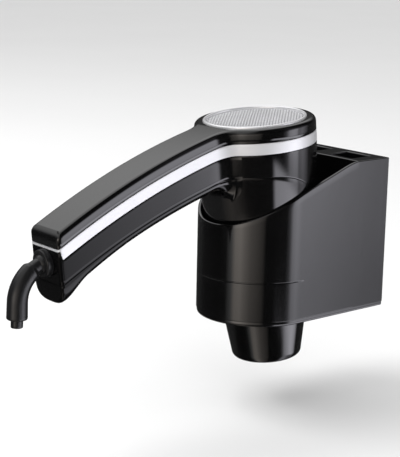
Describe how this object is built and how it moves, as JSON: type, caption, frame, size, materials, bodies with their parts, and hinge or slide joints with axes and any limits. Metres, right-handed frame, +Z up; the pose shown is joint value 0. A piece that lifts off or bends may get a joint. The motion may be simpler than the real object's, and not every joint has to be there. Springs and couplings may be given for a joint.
{
  "type": "hair dryer wall holder",
  "caption": "Gloss black wall holder with a rounded front and a sloping open top, holding a lift-out hair dryer nose-down with its handle out into the room",
  "frame": {"origin": "centre of the wall plate's back face, on the wall plane", "axes": "+Z up, +Y into the wall, -Y out into the room, +X to the right seen from the room"},
  "size_m": [0.08, 0.271, 0.1668],
  "materials": {
    "holder_black": "piano black, polished",
    "dryer_black": "piano black, polished",
    "silver_trim": "satin silver",
    "bright_chrome": "bright turned ring",
    "mesh_steel": "fine woven mesh",
    "silver_button": "satin silver with grip lines",
    "plate_plastic": "moulded black",
    "seat_rubber": "soft black rubber",
    "cord_rubber": "smooth black rubber",
    "screw_steel": "zinc plated",
    "can_steel": "plated motor can",
    "mica": null,
    "coil_wire": "resistance wire",
    "board_green": "circuit board",
    "copper_winding": "copper winding on a steel core",
    "wire_brown": "insulated wire",
    "wire_blue": "insulated wire"
  },
  "bodies": {
    "wall_holder": {"wall_plate": "plate_plastic", "holder_shell": "holder_black", "holder_bottom_cover": "holder_black", "seat_funnel": "plate_plastic", "seat_ring": "seat_rubber", "bottom_cover_screws": "screw_steel", "lock_screw": "screw_steel"},
    "dryer": {"front_shell": "dryer_black", "main_housing": "dryer_black", "trim_band": "silver_trim", "rear_cover": "dryer_black", "grille_bezel": "bright_chrome", "grille_mesh": "mesh_steel", "lint_filter": "plate_plastic", "rear_cover_screws": "screw_steel", "outlet_grid": "plate_plastic", "mica_sleeve": "mica", "heater_frame": "mica", "heating_coil": "coil_wire", "thermostat": "screw_steel", "thermal_fuse": "screw_steel", "motor_can": "can_steel", "motor_end_cap": "plate_plastic", "motor_board": "board_green", "motor_mount_ring": "seat_rubber", "fan_shroud": "plate_plastic", "switch_body": "plate_plastic", "switch_carrier": "plate_plastic", "cord_socket": "plate_plastic", "cord_clamp": "plate_plastic", "cord_clamp_screws": "screw_steel", "live_wire": "wire_brown", "neutral_wire": "wire_blue"},
    "fan_rotor": {"fan_impeller": "plate_plastic", "motor_shaft": "screw_steel", "motor_rotor": "copper_winding"},
    "switch": {"switch_button": "silver_button"},
    "cord": {"cord_boot": "cord_rubber", "power_cord": "cord_rubber"}
  },
  "joints": [
    {"name": "dryer_lift", "type": "slide", "parent": "wall_holder", "child": "dryer", "axis": [0, -0.1045, 0.9945], "range_m": [0, 0.14]},
    {"name": "fan_spin", "type": "hinge", "parent": "dryer", "child": "fan_rotor", "pos_m": [0, -0.0855, 0.0782], "axis": [0, -0.1045, 0.9945], "continuous": true},
    {"name": "switch_slide", "type": "slide", "parent": "dryer", "child": "switch", "axis": [0, -0.9415, -0.3371], "range_m": [0, 0.017], "stiffness_N_per_m": 25},
    {"name": "cord_swivel", "type": "hinge", "parent": "dryer", "child": "cord", "pos_m": [0, -0.24627, 0.0054], "axis": [1, 0, 0], "range_deg": [-22, 10]}
  ]
}
